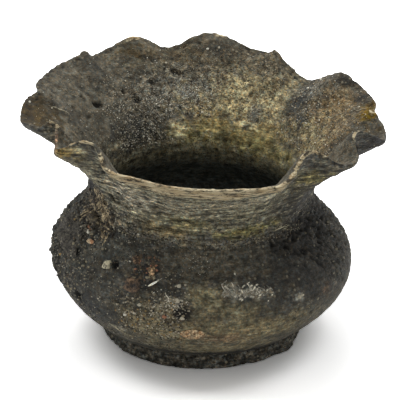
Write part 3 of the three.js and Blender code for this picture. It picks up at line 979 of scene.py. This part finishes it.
GRIT_COLOURS = {
    "brown_crust": ((44, 41, 34), (124, 112, 88), 700),
    "grey_crust": ((48, 46, 42), (94, 89, 78), 700),
    "cream_grit": ((176, 128, 92), (216, 198, 164), 420),
    "pebble_beige": ((140, 133, 110), (192, 184, 156), 320, 0.7),
    "rusty_grit": ((42, 34, 27), (158, 130, 102), 600),
    "brown_clinker": ((40, 33, 26), (204, 172, 132), 520),
    "dark_nodule": ((24, 22, 20), (116, 94, 72), 420, 0.8),
    "orange_flake": ((158, 118, 80), (212, 190, 152), 700),
    "dry_straw": ((236, 230, 204), (252, 250, 238), 200, 0.6, 1.1),
}
GRIT_LOOKS = {name: make_grit(name, *look) for name, look in GRIT_COLOURS.items()}
print("grit materials:", ", ".join(GRIT_LOOKS))

# %% Stuck bits
STUCK_BITS = {
    "crust_patch": ("grey_crust", "crust", 1.5, 0.5, 2),
    "crust_clump": ("brown_crust", "crust", 1.0, 0.5, 3),
    "chip_cream": ("cream_grit", "pale_grit", 0.35, 1.0, 3),
    "pebble_pale": ("pebble_beige", "pale_grit", 0.4, 0.5, 3),
    "clinker_rust": ("rusty_grit", "rust_grit", 0.7, 0.8, 3),
    "clinker_brown": ("brown_clinker", "rust_grit", 0.7, 0.8, 3),
    "nodule_dark": ("dark_nodule", "crust", 0.8, 0.5, 3),
    "sliver_pale": ("dry_straw", "pale_grit", 0.05, 1.0, 2),
    "flake_orange": ("orange_flake", "rust_grit", 0.4, 1.1, 3),
}
SEAT = 0.45 * MM
DEEP_SEAT = 1.2 * MM
CRATER_DEPTH = 1.5 * MM


def stuck_piece(name, look, slot, rough, fineness, levels):
    """A copy of a bit's solid: smoothed, roughened by so many mm, and seated on the clay."""
    bm = merged_copy(name)
    for face in bm.faces:
        face.smooth = True
    bm = subdivided(bm, levels)
    bm.normal_update()
    middle = sum((v.co for v in bm.verts), Vector()) / len(bm.verts)
    out = Vector((middle.x, middle.y, 0)).normalized()
    reach = max((v.co - middle).length for v in bm.verts)
    seat = DEEP_SEAT if name == "crust_patch" else SEAT
    for vertex in bm.verts:
        lump = rough * noise.turbulence(vertex.co / MM * fineness, 3, True) - rough / 2
        vertex.co += vertex.normal * lump * MM - out * seat
        if name == "nodule_dark":
            away = (vertex.co - middle).length / reach
            vertex.co -= out * CRATER_DEPTH * smooth(0.65, 0.2, away)
    piece = new_object(name + "_bit", bm)
    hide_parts(name)
    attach(piece, "root")
    piece.data.materials.clear()
    piece.data.materials.append(GRIT_LOOKS[look])
    return piece


bits = [stuck_piece(name, *bit) for name, bit in STUCK_BITS.items()]
print("stuck bits:", ", ".join(piece.name for piece in bits))

# %% [markdown]
# ## Loose grit
# Sand and crumbs cling all over the pot, most of all inside the mouth and on the left shoulder.
# Scattering small balls of few faces on the wall gives each grain a real edge that catches light.
# A tree of the wall's faces finds the spot for each: a ray goes in from outside, or out from the
# middle for the inside, and a grain is sunk half into what it meets. The smeared places in the
# throat stay bare. The grains are made in small batches, because an operator takes longer the more
# there already is in its bmesh. A field is a range of angles, a range of heights, how many grains it
# has, their sizes in mm and the tints that they are drawn from.

# %% Find spots on the wall
rng = random.Random(7)
tree_of_wall = BVHTree.FromBMesh(wall)
AXIS_REACH = 0.2
SAG_RADIUS = 0.055


def spot_on_wall(angle, height, inside):
    """A point on the wall and its normal, at an angle in degrees and a height in mm."""
    turn = math.radians(angle)
    out = Vector((math.cos(turn), math.sin(turn), 0))
    aim = Vector((0, 0, height * MM))
    aim.z -= SAG_SLOPE * SAG_RADIUS * out.x
    if inside:
        return tree_of_wall.ray_cast(aim, out)[:2]
    return tree_of_wall.ray_cast(aim + out * AXIS_REACH, -out, AXIS_REACH)[:2]


# %% Grains
SCREEN_TINTS = {
    "black": (26, 25, 23), "brown": (84, 70, 52), "grey": (112, 108, 96), "sand": (150, 140, 114),
    "pale": (196, 188, 166), "ochre": (164, 134, 82), "rust": (118, 92, 72), "chalk": (226, 222, 206),
    "terracotta": (172, 122, 92),
}
GRAIN_TINTS = {name: (*picked(*screen), 1.0) for name, screen in SCREEN_TINTS.items()}
MOUTH_MIX = 4 * ("black",) + ("brown", "grey", "grey", "sand", "pale", "chalk")
DEEP_MIX = ("black", "black", "brown", "grey")
BACK_MIX = ("black", "black", "brown", "brown", "ochre", "sand", "pale", "grey", "rust")
SPECK_MIX = ("chalk", "pale", "pale", "grey", "sand")
FOLD_MIX = ("black", "black", "brown", "brown", "pale", "chalk", "rust", "sand", "ochre")
CLINKER_MIX = ("brown", "brown", "sand", "black", "black", "rust", "terracotta")
WALL_MIX = ("black", "black", "brown", "grey", "grey", "sand")
SHOULDER_MIX = 4 * ("black",) + ("brown", "grey", "grey", "grey", "sand", "pale")
LOW_MIX = ("brown", "sand", "sand", "ochre", "grey", "pale", "pale", "sand", "black", "black")
GRAIN_FIELDS = {
    "mouth_grit": [
        ((85, 135), (66, 90), 2400, (0.12, 0.3), MOUTH_MIX),
        ((48, 100), (74, 97), 2200, (0.12, 0.3), BACK_MIX),
        ((0, 48), (72, 96), 1400, (0.14, 0.38), FOLD_MIX),
        ((104, 142), (64, 82), 640, (0.16, 0.34), SPECK_MIX),
        ((86, 100), (77, 85), 160, (0.14, 0.34), SPECK_MIX),
        ((100, 215), (66, 98), 1300, (0.14, 0.3), MOUTH_MIX),
        ((0, 360), (66, 96), 980, (0.14, 0.3), MOUTH_MIX),
        ((30, 150), (50, 66), 700, (0.16, 0.34), DEEP_MIX),
    ],
    "wall_grit": [
        ((172, 262), (14, 60), 2200, (0.15, 0.42), SHOULDER_MIX),
        ((236, 263), (22, 40), 480, (0.15, 0.6), LOW_MIX),
        ((0, 360), (10, 92), 2200, (0.14, 0.3), WALL_MIX),
        ((176, 222), (24, 64), 500, (0.3, 0.7), WALL_MIX),
        ((200, 330), (57.5, 61), 500, (0.2, 0.5), WALL_MIX),
        ((261, 273), (49.5, 56), 60, (0.12, 0.28), SPECK_MIX),
        ((250, 265), (33, 44), 130, (0.15, 0.45), SPECK_MIX),
        ((255.5, 262.5), (38, 41), 110, (0.15, 0.45), SPECK_MIX),
        ((204, 236), (55, 72), 260, (0.14, 0.34), SPECK_MIX),
        ((240, 250.5), (44.5, 53), 120, (0.25, 0.95), CLINKER_MIX),
    ],
}
NAMED_GRAINS = {
    "mouth_grit": [
        (171, 94, 0.75, "chalk"), (167, 90, 0.5, "pale"), (44, 91.5, 0.95, "chalk"),
        (46, 91, 0.85, "chalk"), (47.5, 90.6, 0.6, "pale"), (46.5, 88, 0.8, "chalk"),
        (47, 82.5, 0.6, "pale"), (32.5, 81, 0.7, "chalk"), (90, 75.5, 0.8, "pale"),
        (92.5, 75, 0.7, "ochre"), (121, 66.5, 0.6, "chalk"), (106, 78, 0.6, "chalk"),
        (108.5, 76, 0.5, "chalk"), (113, 79, 0.5, "chalk"), (118, 72, 0.5, "chalk"),
        (124, 68, 0.5, "chalk"), (104, 91, 0.7, "pale"), (88, 96.5, 0.7, "chalk"), (84, 97, 0.7, "pale"),
    ],
    "wall_grit": [
        (237, 50, 0.6, "chalk"), (260.5, 45.5, 1.3, "pale"), (246, 37, 1.1, "pale"),
        (240, 31, 0.9, "chalk"), (260.5, 40.5, 1.2, "pale"), (256, 34, 1.3, "terracotta"),
        (249, 28, 0.5, "chalk"), (263, 46, 0.6, "pale"), (209, 31, 1.0, "sand"),
        (203.5, 52.6, 0.9, "terracotta"), (204.8, 51.8, 0.7, "chalk"), (206.6, 51.6, 1.0, "chalk"),
        (199, 51, 0.8, "pale"), (196, 50.4, 0.7, "ochre"), (200, 44, 0.8, "pale"),
        (202.5, 44.3, 0.8, "pale"), (206, 52.5, 0.9, "rust"), (203, 46, 1.1, "sand"),
        (199, 40, 0.9, "ochre"), (220, 57.5, 0.8, "pale"), (225, 57.8, 0.7, "pale"),
        (237, 59.5, 0.6, "chalk"), (190, 50.3, 1.1, "ochre"), (262.5, 34, 1.1, "pale"),
        (252, 30, 1.0, "sand"), (244, 33, 1.0, "pale"), (238, 27, 0.7, "ochre"), (309.7, 37.6, 1.1, "pale"),
        (311.5, 37.9, 0.8, "pale"), (284, 49.5, 0.5, "chalk"), (228, 34, 0.7, "pale"),
    ],
}
BATCH = 300
FLATNESS = 0.75
SINK = 0.25


def add_grain(bm, layer, hit, normal, size, tint):
    """A small ball of 20 faces, squashed, turned, dented and half sunk into the wall."""
    spin = Matrix.Rotation(rng.uniform(0, 6.28), 4, "Z") @ Matrix.Rotation(rng.uniform(0, 3.14), 4, "X")
    tilt = normal.to_track_quat("Z", "Y").to_matrix().to_4x4()
    shape = Matrix.Diagonal((size, size * rng.uniform(0.55, 1.0), size * FLATNESS, 1))
    place = Matrix.Translation(hit + normal * size * FLATNESS * SINK) @ tilt @ shape @ spin
    made = bmesh.ops.create_icosphere(bm, subdivisions=1, radius=1.0, matrix=place)
    for vertex in made["verts"]:
        vertex.co += (vertex.co - hit) * rng.uniform(-0.3, 0.15)
        vertex[layer] = GRAIN_TINTS[tint]


def spots_of(fields, named):
    """Angle, height, size in metres and tint of every grain: the scattered and the named ones."""
    for around, heights, count, sizes, mix in fields:
        for _ in range(count):
            size = rng.uniform(*sizes)
            yield rng.uniform(*around), rng.uniform(*heights), size * MM, rng.choice(mix)
    for angle, height, size, tint in named:
        yield angle, height, size * MM, tint


def grit_piece(name):
    whole = bmesh.new()
    inside = name == "mouth_grit"
    spots = list(spots_of(GRAIN_FIELDS[name], NAMED_GRAINS[name]))
    for start in range(0, len(spots), BATCH):
        bm = bmesh.new()
        layer = bm.verts.layers.float_color.new("tint")
        for angle, height, size, tint in spots[start:start + BATCH]:
            hit, normal = spot_on_wall(angle, height, inside)
            smeared = inside and patch(angle, height, SMEARED_PLACES) > SMEARED_BARE
            if hit and not smeared:
                add_grain(bm, layer, hit, normal, size, tint)
        batch = bpy.data.meshes.new("batch")
        bm.to_mesh(batch)
        bm.free()
        whole.from_mesh(batch)
        bpy.data.meshes.remove(batch)
    keep_in_box(whole)
    piece = new_object(name, whole)
    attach(piece, "root")
    print(name, "grains:", len(spots), "faces:", len(piece.data.polygons))
    return piece


grit_pieces = [grit_piece(name) for name in GRAIN_FIELDS]

# %% Material of the grains
WEAR_SCALE = 2500
WEAR_BUMP = 0.3
WEAR_BUMP_DEPTH = 0.2 * MM
GRAIN_ROUGHNESS = 0.8
material, tree, shader = new_material("mixed_grit")
coords = add_node(tree, "TexCoord").outputs["Object"]
wear = noise_field(tree, coords, WEAR_SCALE, 2.0)
colour = shaded(tree, painted(tree, "tint", "Color"), stepped(tree, wear, 0.3, 0.7, 0.7, 1.25))
tree.links.new(colour, shader.inputs["Base Color"])
add_bump(tree, shader, wear, WEAR_BUMP, WEAR_BUMP_DEPTH)
shader.inputs["Roughness"].default_value = GRAIN_ROUGHNESS
for piece in grit_pieces:
    piece.data.materials.append(material)
print("material:", material.name, "on", ", ".join(piece.name for piece in grit_pieces))

# %% [markdown]
# ## Roots, scratches and streaks
# Fine roots are baked into the crook on the left, and thin pale lines cross the neck, the belly and
# the folds, where lime ran or a tool scraped. Each is one thin curve that follows the wall, with a
# round bevel and a tapering radius. A curve is easier to lay along a wall than a mesh, and it is made
# into a mesh once it lies well. A line is given by the angle and height of either end, its width in
# mm and how much it wanders.

# %% Lay lines along the wall
LINE_STEPS = 9
LINE_LIFT = 0.2
LINE_TIP = 0.15
LINE_ENDS = (0.03, 0.97)
LINE_WAVES = 9
TAPER = 0.6
LINE_GRAIN = 380


def line_on_wall(curve, angle, height, end_angle, end_height, width, wave, inside=False):
    """Add one spline to a curve: from one angle and height to another, tapering to both ends."""
    points = []
    for step in range(LINE_STEPS):
        share = step / (LINE_STEPS - 1)
        sway = wave * math.sin(share * LINE_WAVES + angle) * math.sin(share * math.pi)
        here = angle + (end_angle - angle) * share + sway
        level = height + (end_height - height) * share + 0.5 * sway
        hit, normal = spot_on_wall(here, level, inside)
        if hit:
            start, end = LINE_ENDS
            taper = max(LINE_TIP, math.sin(math.pi * min(end, max(start, share))) ** TAPER)
            points.append((hit + normal * width * MM * taper * LINE_LIFT, width * MM * taper))
    if len(points) < 3:
        return
    spline = curve.splines.new("POLY")
    spline.points.add(len(points) - 1)
    for target, (co, radius) in zip(spline.points, points):
        target.co = (*co, 1.0)
        target.radius = radius


def lines_piece(name, lines, dark, light):
    curve = bpy.data.curves.new(name, "CURVE")
    curve.dimensions = "3D"
    curve.bevel_depth = 1.0
    curve.bevel_resolution = 1
    curve.use_fill_caps = True
    for line in lines:
        line_on_wall(curve, *line)
    shape = into_scene(bpy.data.objects.new(name, curve))
    bpy.context.view_layer.update()
    mesh = bpy.data.meshes.new_from_object(shape.evaluated_get(bpy.context.evaluated_depsgraph_get()))
    bpy.data.objects.remove(shape)
    bpy.data.curves.remove(curve)
    mesh.name = name
    piece = into_scene(bpy.data.objects.new(name, mesh))
    mesh.materials.clear()
    mesh.materials.append(make_grit(name + "_look", dark, light, LINE_GRAIN))
    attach(piece, "root")
    print(name, "lines:", len(lines), "faces:", len(mesh.polygons))


# %% Roots in the crook
CROOK = (195, 215)
CROOK_TOP = 71.5
CROOK_BOW = 0.12
BOW_MIDDLE = 206
FAN_MIDDLE = 207


def roots(count, thin, thick):
    """Short roots that hang from a bow in the crook and fan out."""
    made = []
    for _ in range(count):
        angle = rng.uniform(*CROOK)
        height = CROOK_TOP - CROOK_BOW * (angle - BOW_MIDDLE) ** 2 + rng.uniform(-7, 1)
        fan = (angle - FAN_MIDDLE) * rng.uniform(0.3, 1.0) + rng.uniform(-3, 3)
        drop = rng.uniform(3, 7.5)
        made.append((angle, height, angle + fan, height - drop,
                     rng.uniform(thin, thick), rng.uniform(0.5, 2.0)))
    return made


lines_piece("dark_roots", roots(60, 0.24, 0.5), (38, 35, 29), (80, 70, 54))
lines_piece("tan_roots", roots(96, 0.2, 0.46), (112, 98, 74), (206, 188, 152))

# %% Lime scratches and clay streaks
LIME_LINES = [
    (277.5, 47.2, 279, 44.0, 0.3, 0.1), (279.6, 46.2, 281.4, 42.8, 0.35, 0.2),
    (282, 47.0, 283.2, 43.4, 0.25, 0.2), (281.4, 42.8, 284.6, 42.0, 0.45, 0.2),
    (284.5, 46.0, 286.5, 42.6, 0.35, 0.1), (286.8, 42.2, 290.2, 41.6, 0.5, 0.2),
    (288.2, 46.4, 290.6, 43.2, 0.3, 0.2), (291.2, 45.0, 293.0, 42.4, 0.35, 0.1),
    (293.0, 44.6, 296.2, 42.6, 0.3, 0.3), (296.5, 44.6, 298.8, 42.8, 0.22, 0.1),
    (255.6, 42.6, 258.0, 39.2, 0.25, 0.3), (258.6, 38.6, 262.4, 39.8, 0.35, 0.2),
    (260.0, 41.0, 261.2, 37.6, 0.22, 0.2), (248.8, 44.3, 253.2, 47.4, 0.3, 0.0),
]
CLAY_LINES = [
    (305.5, 61.6, 318.0, 62.6, 0.28, 0.2), (288, 83.8, 302, 82.4, 0.2, 0.4),
    (230.0, 22.3, 239.5, 17.3, 0.45, 0.3), (19.0, 89.0, 26.0, 84.0, 0.3, 0.6, True),
    (13.0, 93.0, 18.0, 90.2, 0.25, 0.5, True), (94.0, 82.5, 88.0, 83.2, 0.25, 1.5, True),
    (167.0, 91.0, 163.0, 86.5, 0.22, 0.6, True), (154.0, 92.5, 147.0, 86.0, 0.18, 0.8, True),
    (252, 73.5, 262, 74.5, 0.15, 0.4), (276, 80.5, 288, 79.8, 0.15, 0.5),
    (263, 24.5, 280, 23.5, 0.2, 0.5), (286, 25.0, 300, 25.2, 0.18, 0.6),
]
LIME_CLOUD = (277, 298)
LIME_MIDDLE = 287
LIME_LEVEL = 43.4
LIME_SLOPE = 0.08
LIME_SPREAD = 1.1


def lime_strokes(count):
    """A cloud of short slanting strokes on the belly."""
    made = []
    for _ in range(count):
        angle = rng.uniform(*LIME_CLOUD)
        height = LIME_LEVEL - LIME_SLOPE * (angle - LIME_MIDDLE) + rng.gauss(0, LIME_SPREAD)
        made.append((angle, height, angle + rng.uniform(0.5, 1.5), height + rng.uniform(0.1, 0.9),
                     rng.uniform(0.14, 0.4), 0.1))
    return made


LIME_LINES += lime_strokes(70)
lines_piece("lime_scratches", LIME_LINES, (166, 162, 146), (226, 220, 202))
lines_piece("clay_streaks", CLAY_LINES, (140, 132, 108), (186, 178, 152))


# %% Drag lines round the neck
DRAGGED_HEIGHTS = (60, 93)


def neck_dashes(count):
    """Short fine lines that run round the neck and the mouth, where the potter's fingers dragged grit."""
    made = []
    for _ in range(count):
        angle = rng.uniform(0, TURN)
        height = rng.uniform(*DRAGGED_HEIGHTS)
        made.append((angle, height, angle + rng.uniform(2, 8), height + rng.uniform(-0.7, 0.5),
                     rng.uniform(0.08, 0.2), 0.3))
    return made


lines_piece("dark_drags", neck_dashes(330), (26, 25, 22), (58, 54, 44))
lines_piece("pale_drags", neck_dashes(280), (128, 122, 98), (186, 178, 148))
wall.free()

# %% [markdown]
# ## Sizes and the end
# The dressed vase must not be larger than the solids, so both boxes are written down to compare.

# %% Write the sizes and finish
visual_box = [list(corner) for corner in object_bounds()]
print("dressed box in mm:", [[round(c / MM, 1) for c in p] for p in visual_box])
